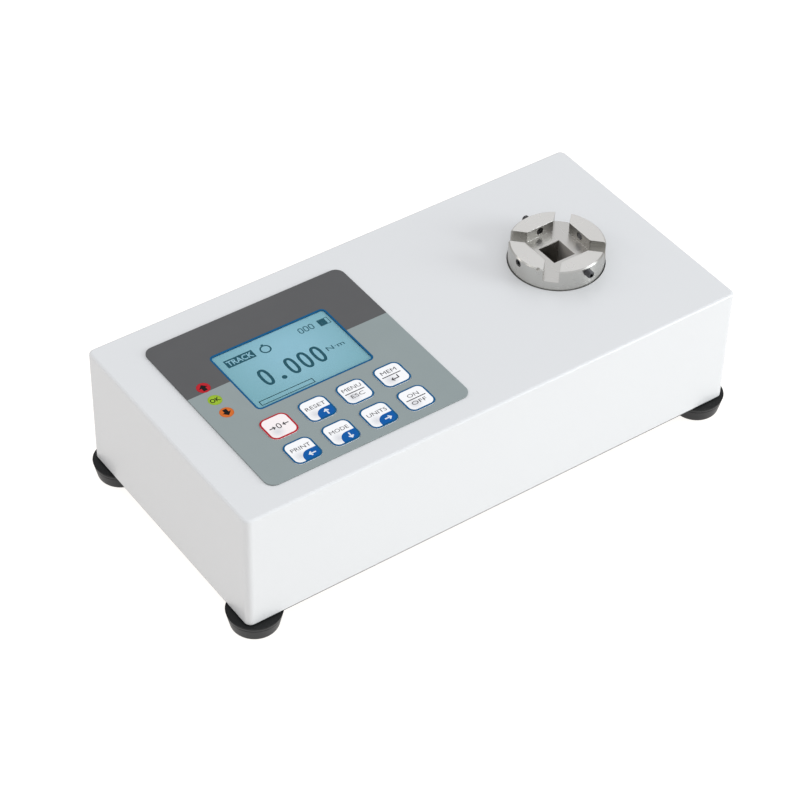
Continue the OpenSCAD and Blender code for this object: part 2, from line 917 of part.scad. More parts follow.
// Quarter bend of the lead in the XZ plane, from +X round to +Z, centred on its bend axis
module lead_elbow() {
    rotate([90, 0, 0]) rotate_extrude(angle = 90) translate([lead_bend, 0]) circle(d = lead_d);
}

// Lead in the XZ plane: off the gauges, down to the base plate, along it and up to its socket
module sensor_lead() {
    top_run = lead_start_x - lead_down_x - lead_bend;
    low_run = lead_down_x - lead_up_x - 2 * lead_bend;
    color("#404040") {
        translate([lead_start_x, 0, gauge_z]) rotate([0, -90, 0]) cylinder(h = top_run, d = lead_d);
        translate([lead_down_x + lead_bend, 0, gauge_z - lead_bend]) rotate([0, -90, 0]) lead_elbow();
        translate([lead_down_x, 0, lead_z + lead_bend]) {
            cylinder(h = gauge_z - lead_z - 2 * lead_bend, d = lead_d);
        }
        translate([lead_down_x - lead_bend, 0, lead_z + lead_bend]) rotate([0, 90, 0]) lead_elbow();
        translate([lead_down_x - lead_bend, 0, lead_z]) rotate([0, -90, 0]) cylinder(h = low_run, d = lead_d);
        translate([lead_up_x + lead_bend, 0, lead_z + lead_bend]) rotate([0, 180, 0]) lead_elbow();
        translate([lead_up_x, 0, lead_z + lead_bend]) {
            cylinder(h = board_socket_z - lead_z - lead_bend, d = lead_d);
        }
    }
}

// Wrapped pack of round cells lying side by side, across the housing
module battery_pack() {
    color("royalblue") translate([battery_x, battery_y + battery_l / 2, plate_top + cell_d / 2]) {
        rotate([90, 0, 0]) linear_extrude(battery_l) {
            for (i = [0 : cell_count - 1]) {
                translate([(i - (cell_count - 1) / 2) * cell_d, 0]) circle(d = cell_d);
            }
            square([(cell_count - 1) * cell_d, cell_d * 0.8], center = true);
        }
    }
}

module battery_screw_places() {
    for (s = [-1, 1]) {
        translate([battery_x + s * (pack_half + strap_t + strap_foot / 2), battery_y, 0]) children();
    }
}

// Strap over the pack, with a foot screwed down at each end
module battery_clamp() {
    outer = pack_half + slip + strap_t;
    color("silver") translate([battery_x, battery_y, plate_top]) difference() {
        union() {
            translate([-outer, -strap_w / 2, 0]) cube([2 * outer, strap_w, cell_d + slip + strap_t]);
            translate([-outer - strap_foot, -strap_w / 2, 0]) {
                cube([2 * (outer + strap_foot), strap_w, strap_t]);
            }
        }
        translate([-pack_half - slip, -strap_w / 2 - cut, -cut]) {
            cube([2 * (pack_half + slip), strap_w + 2 * cut, cell_d + slip + cut]);
        }
        for (s = [-1, 1]) {
            translate([s * (pack_half + strap_t + strap_foot / 2), 0, -cut]) {
                cylinder(h = strap_t + 2 * cut, d = m3_hole_d);
            }
        }
    }
}

module battery_clamp_screws() {
    color("silver") battery_screw_places() translate([0, 0, plate_top + strap_t]) {
        rotate([180, 0, 0]) pan_screw(m3_d, strap_t + plate_t, m3_head_d, m3_head_h);
    }
}

module port_board_corners() {
    at_corners(port_board_l / 2 - port_hole_inset[0], port_board_w / 2 - port_hole_inset[1]) children();
}

module port_board() {
    color("darkgreen") translate([port_board_x, port_board_y, port_board_z]) difference() {
        rounded_plate(port_board_l, port_board_w, port_board_r, board_t);
        port_board_corners() translate([0, 0, -cut]) cylinder(h = board_t + 2 * cut, d = m3_hole_d);
    }
}

module port_board_parts() {
    color("#2a2a2a") {
        translate([ribbon_x - port_header[0] / 2, ribbon_low_y - port_header[1] / 2, port_board_top]) {
            cube(port_header);
        }
        translate([
            port_board_x + port_chip_at[0] - port_chip[0] / 2, port_board_y + port_chip_at[1] - port_chip[1] / 2,
            port_board_top
        ]) {
            cube(port_chip);
        }
    }
}

module port_spacers() {
    color("silver") translate([port_board_x, port_board_y, plate_top]) port_board_corners() difference() {
        cylinder(h = port_spacer_h, d = spacer_d);
        translate([0, 0, -cut]) cylinder(h = port_spacer_h + 2 * cut, d = m3_d + 2 * slip);
    }
}

// Screws up through the base plate and down through the board, both into the spacers
module port_screws() {
    grip = port_spacer_h / 2 - 0.5;
    color("silver") translate([port_board_x, port_board_y, 0]) port_board_corners() {
        translate([0, 0, port_board_top]) rotate([180, 0, 0]) {
            pan_screw(m3_d, board_t + grip, m3_head_d, m3_head_h);
        }
        translate([0, 0, foot_h]) pan_screw(m3_d, plate_t + grip, m3_head_d, m3_head_h);
    }
}

// Square data socket with its tongue, flush with the rear wall
module data_port() {
    shell_t = 0.6;
    tongue = [5.6, 9, 3.2];
    color("silver") translate([usb_x, housing_w / 2 - usb[1], port_board_top]) {
        difference() {
            translate([-usb[0] / 2, 0, 0]) cube(usb);
            translate([-usb[0] / 2 + 1.6, usb[1] - tongue[1], 1.5]) {
                cube([usb[0] - 3.2, tongue[1] + cut, usb[2] - 3]);
            }
        }
        translate([-tongue[0] / 2, usb[1] - tongue[1] - eps, (usb[2] - tongue[2]) / 2]) {
            cube([tongue[0], tongue[1] - shell_t, tongue[2]]);
        }
    }
}

// Round power inlet with its pin, flush with the rear wall
module dc_inlet() {
    barrel_d = 6.4;
    barrel_depth = 9;
    pin_d = 2.1;
    color("#202020") translate([jack_x, housing_w / 2 - jack[1], port_board_top]) {
        difference() {
            translate([-jack[0] / 2, 0, 0]) cube(jack);
            translate([0, jack[1] + cut, jack[2] / 2]) rotate([90, 0, 0]) {
                cylinder(h = barrel_depth + cut, d = barrel_d);
            }
        }
        translate([0, jack[1] - 1, jack[2] / 2]) rotate([90, 0, 0]) {
            cylinder(h = barrel_depth - 1 + eps, d = pin_d);
        }
    }
}

// Quarter bend of the ribbon's section, centred on its bend axis
module ribbon_elbow() {
    intersection() {
        difference() {
            circle(ribbon_bend + ribbon_t / 2);
            circle(ribbon_bend - ribbon_t / 2);
        }
        square(2 * ribbon_bend);
    }
}

// Ribbon from the rear board up to the main board, with a step forward half-way
module ribbon_cable() {
    rise = board_socket_z - ribbon_low_z;
    step = ribbon_low_y - ribbon_high_y;
    leg = rise / 2 - ribbon_bend;
    color("lightgray") translate([ribbon_x - ribbon_w / 2, ribbon_low_y, ribbon_low_z]) {
        rotate([90, 0, 90]) linear_extrude(ribbon_w) {
            translate([-ribbon_t / 2, 0]) square([ribbon_t, leg]);
            translate([-ribbon_bend, leg]) ribbon_elbow();
            translate([ribbon_bend - step, rise / 2 - ribbon_t / 2]) {
                square([step - 2 * ribbon_bend, ribbon_t]);
            }
            translate([ribbon_bend - step, rise - leg]) rotate(180) ribbon_elbow();
            translate([-step - ribbon_t / 2, rise - leg]) square([ribbon_t, leg]);
        }
    }
}

cover();
base_plate();
foot(-foot_x, -foot_y);  // foot_front_left
foot(foot_x, -foot_y);  // foot_front_right
foot(-foot_x, foot_y);  // foot_rear_left
foot(foot_x, foot_y);  // foot_rear_right
foot_washers();
foot_screws();
weld_nuts();
cover_screws();
overlay();
switch_layer();
key_contacts();
key(0);  // key_zero
key(1);  // key_reset
key(2);  // key_menu
key(3);  // key_memory
key(4);  // key_print
key(5);  // key_mode
key(6);  // key_units
key(7);  // key_power
display_window();
light(0, "crimson");  // light_red
light(1, "yellowgreen");  // light_green
light(2, "darkorange");  // light_orange
status_leds();
lcd_glass();
lcd_backlight();
lcd_frame();
lcd_board();
lcd_spacers();
main_board();
main_board_parts();
board_spacers();
board_screws();
torque_head();
clamp_at(270, clamp_out_front);  // clamp_screw_front
clamp_at(90, clamp_out_rear);  // clamp_screw_rear
clamp_at(180, -clamp_in_side);  // clamp_screw_left
clamp_at(0, -clamp_in_side);  // clamp_screw_right
torque_cell();
strain_gauges();
head_screws();
cell_screws();
cell_plate();
cell_plate_screws();
sensor_lead();
battery_pack();
battery_clamp();
battery_clamp_screws();
port_board();
port_board_parts();
port_spacers();
port_screws();
data_port();
dc_inlet();
ribbon_cable();
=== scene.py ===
"""Looks of a bench torque tester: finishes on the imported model, the print on its panel and keys,
the display's reading and the threads of the clamp screws."""

import json
import math

import bmesh
import bpy
from mathutils import Matrix, Vector


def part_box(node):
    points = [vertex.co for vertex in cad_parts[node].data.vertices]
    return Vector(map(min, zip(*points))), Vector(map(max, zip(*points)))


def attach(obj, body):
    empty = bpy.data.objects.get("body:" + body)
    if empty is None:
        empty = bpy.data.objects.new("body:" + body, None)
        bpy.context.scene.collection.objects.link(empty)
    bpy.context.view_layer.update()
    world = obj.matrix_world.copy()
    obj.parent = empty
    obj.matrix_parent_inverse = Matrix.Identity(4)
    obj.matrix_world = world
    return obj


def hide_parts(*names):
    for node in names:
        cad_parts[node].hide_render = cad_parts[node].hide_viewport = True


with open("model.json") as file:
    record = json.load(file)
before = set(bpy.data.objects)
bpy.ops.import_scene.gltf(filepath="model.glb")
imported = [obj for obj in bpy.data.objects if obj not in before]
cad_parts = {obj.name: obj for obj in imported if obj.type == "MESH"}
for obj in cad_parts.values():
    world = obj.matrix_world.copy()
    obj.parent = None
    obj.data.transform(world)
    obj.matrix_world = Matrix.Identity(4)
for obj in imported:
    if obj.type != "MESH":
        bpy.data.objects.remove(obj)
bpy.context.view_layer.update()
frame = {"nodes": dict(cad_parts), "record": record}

MM = 0.001
HOUSING = "housing"

# Camera, as solved from the photograph: place in metres, and its right and up directions
CAMERA_PLACE = Vector((-0.5815, -0.7810, 0.9163))
CAMERA_RIGHT = Vector((0.81717, -0.57603, 0.02042))
CAMERA_UP = Vector((0.37641, 0.56014, 0.73794))
LENS_MM = 117.95
SENSOR_MM = 36

# Print: how far it stands on its carrier and how far it sinks in, so that each piece is solid
INK_RISE = 0.02 * MM
INK_SINK = 0.01 * MM
ARC_STEPS = 10

KEYS = ("zero", "reset", "menu", "memory", "print", "mode", "units", "power")
FEET = ("front_left", "front_right", "rear_left", "rear_right")

# Clamp screws, and the way that each points out of the head, in degrees
CLAMPS = {"front": 270, "rear": 90, "left": 180, "right": 0}

# How far behind the window's middle the panel's dark band begins
BAND_RISE = 2.2 * MM

# The share of a foot's height above which its rubber is dull and darkened by painted shade; below it,
# a painted sheen makes it greyer
FOOT_EDGE = 0.9

# From the head's axis: where the walls of its drive end, and those of its pocket
DRIVE_REACH = (9.4 * MM, 9.6 * MM)
POCKET_REACH = (16.6 * MM, 16.9 * MM)

# Depths between which the painted light on the head's top gives way to the painted shade on its
# pocket's floor
POCKET_FLOOR = (6.0 * MM, 5.0 * MM)

# The rings that the lathe left on the head: noise cells per metre
RING_SCALE = 2600.0

# Roughness of the head, and of the two end walls of its drive
HEAD_ROUGHNESS = (0.25, 0.3)
END_WALL_ROUGHNESS = 0.66

# The grey patch of painted shade on a key and the bright patch on the display: place, and reach of its
# soft edge
KEY_PAINTED_SHADE_PLACE = Vector((-2.6, -3.0, 0)) * MM
KEY_PAINTED_SHADE_REACH = (0.6 * MM, 4.2 * MM)
LCD_PATCH = Vector((3, 5, 0)) * MM
LCD_PATCH_REACH = (8 * MM, 36 * MM)

# The soft edge between a lens's bright middle and its darker rim
LENS_REACH = (1.5 * MM, 3.8 * MM)

# A noise texture's values lie mostly between these two
NOISE_LOW = 0.3
NOISE_HIGH = 0.7


def srgb(red, green, blue):
    """Linear colour of a display colour from 0 to 255."""
    def linear(value):
        value = value / 255
        return value / 12.92 if value <= 0.04045 else ((value + 0.055) / 1.055) ** 2.4
    return (linear(red), linear(green), linear(blue), 1)


# Colours
WHITE_PAINT = srgb(236, 237, 238)
DARK_PAINT = srgb(62, 64, 66)
PANEL_DARK = (srgb(92, 92, 93), srgb(97, 97, 98))
PANEL_GREY = (srgb(151, 162, 162), srgb(156, 167, 167))
# Feet: one rubber, painted black with shade under the housing and greyer with painted sheen below
RUBBER_PAINTED_SHADE = (srgb(14, 16, 17), srgb(20, 22, 23))
RUBBER_PAINTED_SHEEN = (srgb(46, 46, 47), srgb(54, 54, 55))
# Head: one steel in lit and shaded copies. Painted light on its top and on the drive's end walls,
# painted shade on its pocket floor, side, pocket walls and drive walls
HEAD_TOP_PAINTED_LIGHT = srgb(238, 236, 232)
HEAD_FLOOR_PAINTED_SHADE = srgb(220, 218, 214)
HEAD_SIDE_PAINTED_SHADE = srgb(200, 199, 195)
POCKET_WALL_PAINTED_SHADE = srgb(150, 148, 144)
DRIVE_WALL_PAINTED_SHADE = srgb(138, 135, 130)
DRIVE_END_WALL_PAINTED_LIGHT = srgb(206, 202, 197)
THREADED_STEEL = srgb(90, 90, 92)
PRINT_BLUE = srgb(2, 94, 174)
BORDER_BLUE = srgb(12, 94, 142)
BORDER_RED = srgb(190, 28, 46)
PRINT_GREY = srgb(86, 84, 86)
PRINT_WHITE = srgb(238, 243, 250)
PRINT_BLACK = srgb(24, 20, 20)
KEY_WHITE = srgb(254, 254, 255)
KEY_PINK = srgb(255, 246, 246)
# Grey of the painted shade patch on the keys
KEY_PAINTED_SHADE = srgb(222, 222, 226)
LCD_LIGHT = srgb(155, 203, 219)
LCD_DEEP = srgb(138, 188, 199)
LCD_INK = srgb(46, 92, 105)
LCD_LINE = srgb(20, 58, 66)
LENS = {"red": srgb(206, 20, 38), "green": srgb(166, 202, 44), "orange": srgb(232, 116, 36)}


def centre_of(node):
    """Middle of a node's box."""
    low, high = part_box(node)
    return (low + high) / 2


# Materials


class Finish:
    """A node material: its Principled shader, and helpers that wire one node each."""

    def __init__(self, name):
        self.material = bpy.data.materials.new(name)
        self.material.use_nodes = True
        self.tree = self.material.node_tree
        self.shader = self.tree.nodes["Principled BSDF"]
        self.place = self.tree.nodes.new("ShaderNodeTexCoord").outputs["Object"]

    def add(self, kind, inputs=None, **settings):
        node = self.tree.nodes.new("ShaderNode" + kind)
        for key, value in settings.items():
            setattr(node, key, value)
        for key, value in (inputs or {}).items():
            self.feed(node.inputs[key], value)
        return node

    def feed(self, socket, value):
        if isinstance(value, bpy.types.NodeSocket):
            self.tree.links.new(value, socket)
        else:
            socket.default_value = value

    def set(self, **values):
        """Feeds the shader's sockets, each named in lower case; specular is its specular level."""
        for key, value in values.items():
            name = "Specular IOR Level" if key == "specular" else key.replace("_", " ").title()
            self.feed(self.shader.inputs[name], value)

    def math(self, operation, first, second=0.0):
        return self.add("Math", {0: first, 1: second}, operation=operation).outputs[0]

    def noise(self, scale, detail=2.0, place=None):
        inputs = {"Vector": place or self.place, "Scale": scale, "Detail": detail}
        return self.add("TexNoise", inputs).outputs["Fac"]

    def ramp(self, value, low, high, start=0.0, end=1.0):
        inputs = {"Value": value, "From Min": low, "From Max": high, "To Min": start, "To Max": end}
        return self.add("MapRange", inputs).outputs["Result"]

    def drift(self, scale, low, high):
        """A value that drifts between two limits over the surface."""
        return self.ramp(self.noise(scale), NOISE_LOW, NOISE_HIGH, low, high)

    def mix(self, share, first, second):
        node = self.add("Mix", data_type="RGBA")
        self.feed(node.inputs["Factor"], share)
        self.feed(node.inputs["A"], first)
        self.feed(node.inputs["B"], second)
        return node.outputs["Result"]

    def along(self, axis):
        """Place along X, Y or Z."""
        return self.add("SeparateXYZ", {"Vector": self.place}).outputs[axis]

    def distance(self, point):
        """Distance from an upright axis through the point."""
        offset = self.add("VectorMath", {0: self.place, 1: point}, operation="SUBTRACT").outputs[0]
        flat = self.add("VectorMath", {0: offset, 1: (1, 1, 0)}, operation="MULTIPLY").outputs[0]
        return self.add("VectorMath", {0: flat}, operation="LENGTH").outputs["Value"]

    def round_edges(self, radius):
        return self.add("Bevel", {"Radius": radius}, samples=4).outputs["Normal"]

    def bump(self, height, depth, strength, normal=None):
        node = self.add("Bump", {"Height": height, "Distance": depth, "Strength": strength})
        if normal is not None:
            self.feed(node.inputs["Normal"], normal)
        self.set(normal=node.outputs["Normal"])

    def tint(self, colour, share, scale=60.0):
        """Base colour that drifts a little, lighter and darker, over the surface."""
        darker = tuple(c * (1 - share) for c in colour[:3]) + (1,)
        lighter = tuple(min(1.0, c * (1 + share)) for c in colour[:3]) + (1,)
        self.set(base_color=self.mix(self.noise(scale), darker, lighter))


def painted_finish(name, colour, roughness=0.42):
    """Powder coat: faint orange peel, a slow drift in tone and softened edges."""
    f = Finish(name)
    f.tint(colour, 0.012, 9.0)
    f.set(roughness=f.drift(400.0, roughness - 0.04, roughness + 0.04))
    f.set(specular=0.4, coat_weight=0.6, coat_roughness=0.2)
    f.bump(f.noise(1400.0, 1.0), 0.012 * MM, 0.5, f.round_edges(0.3 * MM))
    return f.material


def steel_finish(name, colour, roughness):
    """Ground or plated steel with fine drawn lines."""
    f = Finish(name)
    f.set(metallic=1.0)
    f.tint(colour, 0.05, 160.0)
    stretch = f.add("Mapping", {"Vector": f.place, "Scale": (900, 900, 9000)}).outputs["Vector"]
    f.set(roughness=f.drift(260.0, roughness - 0.05, roughness + 0.05))
    f.bump(f.noise(1.0, 2.0, stretch), 0.004 * MM, 0.4, f.round_edges(0.12 * MM))
    return f.material


def head_finish_with_painted_light(name, axis):
    """Turned steel with faint rings round the axis.

    The faces that look up are lighter with painted light, and the walls of the pocket and of the drive
    darker with painted shade, apart from the drive's two end walls, across X, which are lighter with
    painted light, and rougher."""
    f = Finish(name)
    z = f.along("Z")
    radius = f.distance(axis)
    out = f.math("MULTIPLY", radius, RING_SCALE)
    up = f.math("MULTIPLY", z, RING_SCALE)
    lines = f.noise(1.0, 3.0, f.add("CombineXYZ", {"X": out, "Y": up}).outputs[0])
    normal = f.tree.nodes.new("ShaderNodeTexCoord").outputs["Normal"]
    facing = f.add("SeparateXYZ", {"Vector": normal})
    across = f.math("ABSOLUTE", facing.outputs["X"])
    # Painted shade on the drive's walls, the pocket's walls and the side, with painted light on the
    # drive's two end walls
    drive = f.mix(across, DRIVE_WALL_PAINTED_SHADE, DRIVE_END_WALL_PAINTED_LIGHT)
    pocket = f.mix(f.ramp(radius, *DRIVE_REACH), drive, POCKET_WALL_PAINTED_SHADE)
    side = f.mix(f.ramp(radius, *POCKET_REACH), pocket, HEAD_SIDE_PAINTED_SHADE)
    top_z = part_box("torque_head")[1].z
    # Painted light on the top, painted shade on the pocket's floor
    high = f.ramp(z, top_z - POCKET_FLOOR[0], top_z - POCKET_FLOOR[1])
    level = f.mix(high, HEAD_FLOOR_PAINTED_SHADE, HEAD_TOP_PAINTED_LIGHT)
    # Faces that look up take the painted light of the top or the painted shade of the floor, the
    # others the painted shade of the walls
    flat = f.ramp(facing.outputs["Z"], 0.8, 0.95)
    f.set(base_color=f.mix(flat, side, level), metallic=1.0)
    around = f.add("Tangent", direction_type="RADIAL", axis="Z").outputs[0]
    f.set(tangent=around, anisotropic=0.7, anisotropic_rotation=0.25)
    in_drive = f.ramp(radius, *DRIVE_REACH, 1.0, 0.0)
    end_wall = f.math("MULTIPLY", f.math("MULTIPLY", across, in_drive), END_WALL_ROUGHNESS)
    f.set(roughness=f.math("MAXIMUM", f.drift(60.0, *HEAD_ROUGHNESS), end_wall))
    f.bump(lines, 0.001 * MM, 0.2, f.round_edges(0.3 * MM))
    return f.material


def plastic_finish(name, colour, roughness, share=0.05, grain=0.01 * MM, scale=900.0):
    """Moulded plastic, film or foil with a fine grain."""
    f = Finish(name)
    f.tint(colour, share)
    f.set(roughness=f.drift(300.0, roughness - 0.05, roughness + 0.05))
    f.bump(f.noise(scale, 2.0), grain, 0.5)
    return f.material


def foot_rubber_painted_shade_and_sheen(name, edge_z):
    """Moulded rubber, dull near the top and smoother below: painted shade makes it black under the
    housing and a painted sheen makes it greyer below.
    """
    f = Finish(name)
    above = f.ramp(f.along("Z"), edge_z - 0.05 * MM, edge_z + 0.05 * MM)
    grain = f.noise(500.0)
    # Painted shade above the edge, under the housing, and painted sheen below it
    f.set(base_color=f.mix(above, f.mix(grain, *RUBBER_PAINTED_SHEEN), f.mix(grain, *RUBBER_PAINTED_SHADE)))
    f.set(roughness=f.ramp(above, 0, 1, 0.34, 0.62), specular=0.36)
    f.bump(f.noise(1600.0, 2.0), 0.02 * MM, 0.4)
    return f.material


def overlay_finish(name, split_y):
    """Printed film: a dark field behind the split and a grey one before it, with a fine grain."""
    f = Finish(name)
    behind = f.math("GREATER_THAN", f.along("Y"), split_y)
    soft = f.noise(70.0)
    field = f.mix(behind, f.mix(soft, *PANEL_GREY), f.mix(soft, *PANEL_DARK))
    f.set(base_color=field, roughness=0.5, specular=0.25)
    f.bump(f.noise(2600.0, 1.0), 0.01 * MM, 0.5, f.round_edges(0.1 * MM))
    return f.material


def key_film_with_painted_light(name, centre, colour):
    """Glossy film, made bright by a faint painted glow though it is no lamp, with a soft grey patch of
    painted shade towards its near left.
    """
    f = Finish(name)
    # Painted shade: a soft grey patch towards the key's near left
    share = f.ramp(f.distance(centre + KEY_PAINTED_SHADE_PLACE), *KEY_PAINTED_SHADE_REACH, 1.0, 0.0)
    f.set(base_color=f.mix(share, colour, KEY_PAINTED_SHADE), roughness=0.28)
    # Painted glow: the film gives off a little light of its own, though it is no lamp
    f.set(emission_color=colour, emission_strength=0.07)
    f.bump(f.noise(700.0, 1.0), 0.004 * MM, 0.5, f.round_edges(0.12 * MM))
    return f.material


def window_finish(name):
    """Clear film, a little glossy."""
    f = Finish(name)
    f.set(base_color=srgb(90, 140, 155), roughness=0.16, alpha=0.02)
    f.bump(f.noise(900.0, 1.0), 0.002 * MM, 0.4)
    return f.material


def lcd_finish(name):
    """Display glass, a little deeper in tone away from its middle."""
    f = Finish(name)
    share = f.ramp(f.distance(centre_of("display_window") + LCD_PATCH), *LCD_PATCH_REACH)
    f.set(base_color=f.mix(share, LCD_LIGHT, LCD_DEEP), roughness=0.5, specular=0.0)
    f.bump(f.noise(3000.0, 0.0), 0.002 * MM, 0.3)
    return f.material


def lens_finish(name, colour, centre):
    """Tinted lens over a round light, a little brighter at its middle."""
    f = Finish(name)
    edge = f.ramp(f.distance(centre), *LENS_REACH)
    darker = tuple(c * 0.8 for c in colour[:3]) + (1,)
    f.set(base_color=f.mix(edge, colour, darker), roughness=0.35, specular=0.2)
    f.bump(f.noise(400.0, 1.0), 0.002 * MM, 0.3)
    return f.material


def ink_finish(name, colour, roughness=0.4, gloss=0.1):
    """Printed ink, nearly even in colour."""
    f = Finish(name)
    f.tint(colour, 0.03, 500.0)
    f.set(roughness=f.drift(900.0, roughness - 0.03, roughness + 0.03), specular=gloss)
    return f.material


def board_finish(name):
    """Circuit board: green mask with faint tracks."""
    f = Finish(name)
    tracks = f.add("TexBrick", {
        "Vector": f.place,
        "Color1": srgb(20, 92, 52),
        "Color2": srgb(24, 100, 58),
        "Mortar": srgb(16, 76, 42),
        "Scale": 320.0,
        "Mortar Size": 0.03,
    })
    f.set(base_color=tracks.outputs["Color"], roughness=0.32)
    f.bump(tracks.outputs["Fac"], 0.02 * MM, 0.4)
    return f.material


def socket_finish(name, shell, inside, node, margin):
    """Socket whose middle, as seen from the rear, is of another material than its shell."""
    f = Finish(name)
    middle = centre_of(node)
    across = f.math("ABSOLUTE", f.math("SUBTRACT", f.along("X"), middle.x))
    up = f.math("ABSOLUTE", f.math("SUBTRACT", f.along("Z"), middle.z))
    in_x = f.math("LESS_THAN", across, margin[0])
    in_z = f.math("LESS_THAN", up, margin[1])
    core = f.math("MULTIPLY", in_x, in_z)
    f.set(base_color=f.mix(core, shell["colour"], inside["colour"]))
    f.set(metallic=f.ramp(core, 0, 1, shell["metal"], inside["metal"]))
    f.set(roughness=f.ramp(core, 0, 1, 0.3, 0.45))
    f.bump(f.noise(1500.0, 1.0), 0.006 * MM, 0.4)
    return f.material


def assign(node, material):
    """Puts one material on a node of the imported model."""
    mesh = frame["nodes"][node].data
    mesh.materials.clear()
    mesh.materials.append(material)


def finish_cad_nodes():
    """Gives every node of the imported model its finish, first by material slot and then by node."""
    by_slot = {
        "cover_paint": painted_finish("cover_paint", WHITE_PAINT),
        "base_paint": painted_finish("base_paint", DARK_PAINT, 0.5),
        "zinc_steel": steel_finish("zinc_steel", srgb(196, 197, 192), 0.3),
        "black_steel": steel_finish("black_steel", srgb(44, 45, 48), 0.4),
        "plate_steel": steel_finish("plate_steel", srgb(150, 151, 152), 0.42),
        "lcd_steel": steel_finish("lcd_steel", srgb(96, 97, 100), 0.4),
        "cell_metal": steel_finish("cell_metal", srgb(214, 215, 217), 0.3),
        "brass_spacer": steel_finish("brass_spacer", srgb(206, 176, 110), 0.28),
        "layer_film": plastic_finish("layer_film", srgb(124, 128, 129), 0.5),
        "led_body": plastic_finish("led_body", srgb(238, 238, 230), 0.15, 0.02, 0.002 * MM),
        "backlight": plastic_finish("backlight", srgb(236, 244, 244), 0.3, 0.02),
        "board_green": board_finish("board_green"),
        "chip_black": plastic_finish("chip_black", srgb(38, 38, 40), 0.5, 0.08),
        "gauge_foil": plastic_finish("gauge_foil", srgb(206, 146, 62), 0.35, 0.1),
        "lead_jacket": plastic_finish("lead_jacket", srgb(58, 58, 60), 0.5, 0.06),
        "battery_wrap": plastic_finish("battery_wrap", srgb(34, 84, 168), 0.25, 0.06),
        "ribbon_film": plastic_finish("ribbon_film", srgb(168, 168, 172), 0.45, 0.1, 0.03 * MM, 400.0),
    }
    for part in frame["record"]["subparts"]:
        if part["material_slot"] in by_slot:
            assign(part["node"], by_slot[part["material_slot"]])
    foot = foot_rubber_painted_shade_and_sheen("foot_rubber", FOOT_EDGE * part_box("foot_front_left")[1].z)
    for corner in FEET:
        assign(f"foot_{corner}", foot)
    assign("torque_head", head_finish_with_painted_light("head_steel", centre_of("torque_head")))
    assign("overlay", overlay_finish("overlay_film", centre_of("display_window").y + BAND_RISE))
    assign("display_window", window_finish("window_film"))
    assign("lcd_glass", lcd_finish("lcd_glass"))
    for key in KEYS:
        colour = KEY_PINK if key == "zero" else KEY_WHITE
        assign(f"key_{key}", key_film_with_painted_light(f"key_film_{key}", centre_of(f"key_{key}"), colour))
    for tint, colour in LENS.items():
        assign(f"light_{tint}", lens_finish(f"lens_{tint}", colour, centre_of(f"light_{tint}")))
    tin = {"colour": srgb(200, 201, 204), "metal": 1.0}
    white = {"colour": srgb(222, 222, 218), "metal": 0.0}
    black = {"colour": srgb(30, 30, 32), "metal": 0.0}
    assign("data_port", socket_finish("data_port", tin, white, "data_port", (2.9 * MM, 1.7 * MM)))
    assign("dc_inlet", socket_finish("dc_inlet", black, tin, "dc_inlet", (1.1 * MM, 1.1 * MM)))


# Flat outlines in millimetres round the carrier's own middle


def arc(x, y, radius, start, turn, steps=ARC_STEPS):
    """Points along a stretch of a circle, with its angles in degrees."""
    angles = [math.radians(start + turn * i / steps) for i in range(steps + 1)]
    return [(x + radius * math.cos(a), y + radius * math.sin(a)) for a in angles]


def circle(x, y, radius):
    return arc(x, y, radius, 0, 360, 4 * ARC_STEPS)[:-1]


def rounded(x, y, width, depth, radius):
    """Rectangle with round corners, from its middle."""
    across, up = width / 2 - radius, depth / 2 - radius
    corners = ((1, 1, 0), (-1, 1, 90), (-1, -1, 180), (1, -1, 270))
    points = []
    for side, end, start in corners:
        points += arc(x + side * across, y + end * up, radius, start, 90)
    return points


def bar(x, y, width, depth):
    """Rectangle with sharp corners, from its middle."""
    return [(x - width / 2, y - depth / 2), (x + width / 2, y - depth / 2),
            (x + width / 2, y + depth / 2), (x - width / 2, y + depth / 2)]


def line_arrow(length, head, line, rise=0.0):
    """Arrow of even lines that points along +X, centred. Its tail turns up if it has a rise."""
    s = line / math.sqrt(2)
    half = line / 2
    tail = [(-length, half), (-length, -half)]
    if rise:
        tail = [(-length + line, half), (-length + line, rise), (-length, rise), (-length, -half)]
    points = [(0, 0), (-head, head), (-head - s, head - s), (-2 * s - half, half)]
    points += tail
    points += [(-2 * s - half, -half), (-head - s, s - head), (-head, -head)]
    return [(x + length / 2, y) for x, y in points]


def block_arrow(length, head, shaft):
    """Solid arrow that points along +X, centred."""
    neck = length / 2 - head / 2
    return [(length / 2, 0), (neck, head / 2), (neck, shaft / 2), (-length / 2, shaft / 2),
            (-length / 2, -shaft / 2), (neck, -shaft / 2), (neck, -head / 2)]


def placed(points, x, y, turn, flip=False):
    """An outline turned, flipped end to end if asked, and moved."""
    c, s = math.cos(math.radians(turn)), math.sin(math.radians(turn))
    side = -1 if flip else 1
    return [(x + c * side * px - s * py, y + s * side * px + c * py) for px, py in points]


# Pieces


def keep_piece(obj, material, body):
    """Gives a new piece its material and the body that it rides on."""
    obj.data.materials.clear()
    obj.data.materials.append(material)
    bpy.context.scene.collection.objects.link(obj)
    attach(obj, body)
    return obj


def solid_from_curve(name, curve):
    """The closed mesh of a filled and extruded curve or text."""
    source = bpy.data.objects.new(name + "_outline", curve)
    bpy.context.scene.collection.objects.link(source)
    graph = bpy.context.evaluated_depsgraph_get()
    mesh = bpy.data.meshes.new_from_object(source.evaluated_get(graph))
    bpy.data.objects.remove(source)
    bpy.data.curves.remove(curve)
    mesh.name = name
    work = bmesh.new()
    work.from_mesh(mesh)
    bmesh.ops.remove_doubles(work, verts=work.verts, dist=1e-7)
    bmesh.ops.recalc_face_normals(work, faces=work.faces)
    work.to_mesh(mesh)
    work.free()
    return mesh


